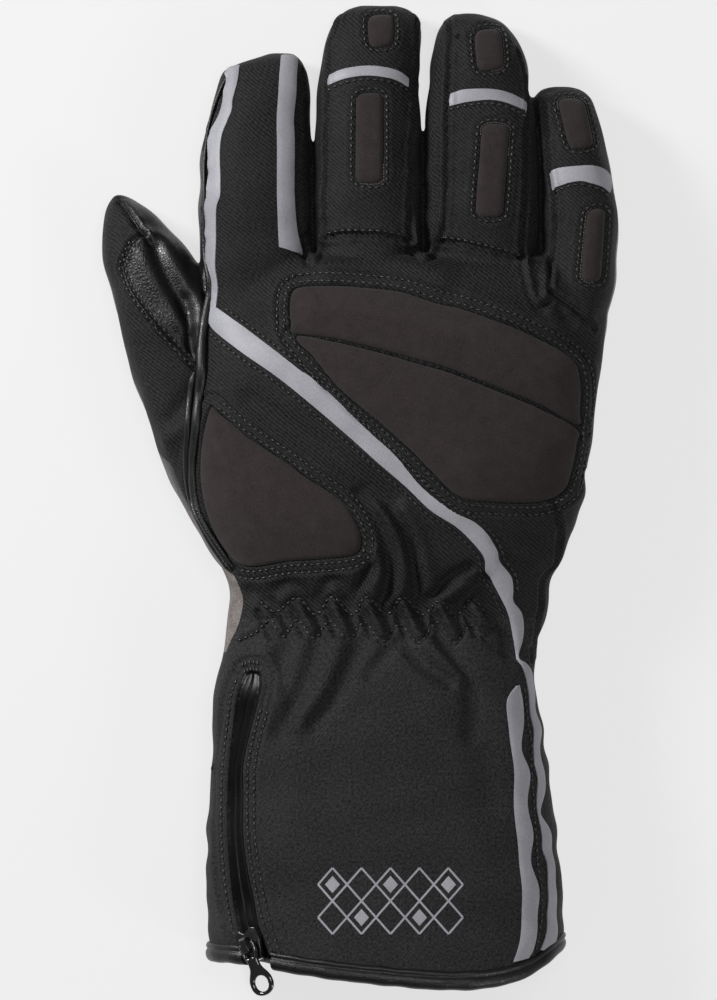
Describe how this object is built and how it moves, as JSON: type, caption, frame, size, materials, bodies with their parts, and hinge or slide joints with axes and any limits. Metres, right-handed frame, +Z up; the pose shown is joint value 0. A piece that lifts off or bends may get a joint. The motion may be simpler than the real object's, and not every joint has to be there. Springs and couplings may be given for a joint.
{
  "type": "textile motorcycle glove",
  "caption": "Padded textile riding glove for the right hand with a long zipped cuff, softshell knuckle pads and reflective stripes, lying palm down.",
  "frame": {"origin": "on the floor under the middle of the glove as it lies palm down", "axes": "+Y to the fingertips, +X to the little finger, +Z up out of the back of the hand"},
  "size_m": [0.1602, 0.308, 0.0512],
  "materials": {
    "textile": "black twill-woven nylon, matt, padded",
    "leather": "black grained goatskin, satin",
    "softshell": "brushed brown-black stretch softshell over foam",
    "reflective": "grey retroreflective tape",
    "suede": "grey suede, short nap",
    "zip_tape": "black coated waterproof zip tape, satin",
    "zip_metal": "black gloss lacquered die-cast zinc"
  },
  "bodies": {
    "glove": {"hand_back": "textile", "hand_palm": "leather", "index_back": "textile", "index_front": "leather", "middle_back": "textile", "middle_front": "leather", "ring_back": "textile", "ring_front": "leather", "little_back": "textile", "little_front": "leather", "thumb_back": "textile", "thumb_front": "leather", "cuff_back": "textile", "cuff_palm": "leather", "wrist_gather": "textile", "hem_binding": "leather", "zip_tape": "zip_tape", "knuckle_pad_upper": "softshell", "knuckle_pad_lower": "softshell", "thumb_side_pad": "softshell", "long_stripe": "reflective", "cuff_stripe": "reflective", "index_stripe_outer": "reflective", "index_stripe_inner": "reflective", "middle_band": "reflective", "ring_band": "reflective", "little_band": "reflective", "middle_tip_pad": "softshell", "ring_tip_pad": "softshell", "little_tip_pad": "softshell", "middle_knuckle_pad": "softshell", "ring_knuckle_pad": "softshell", "little_knuckle_pad": "softshell", "thumb_patch": "leather", "thumb_side_piping": "leather", "suede_patch": "suede", "cuff_tab": "textile", "zip_slider": "zip_metal"},
    "pull": {"zip_pull": "zip_metal"}
  },
  "joints": [
    {"name": "pull_hinge", "type": "hinge", "parent": "glove", "child": "pull", "pos_m": [-0.0349, -0.13709, 0.04595], "axis": [-0.8274, -0.3746, -0.4185], "range_deg": [0, 155]}
  ]
}
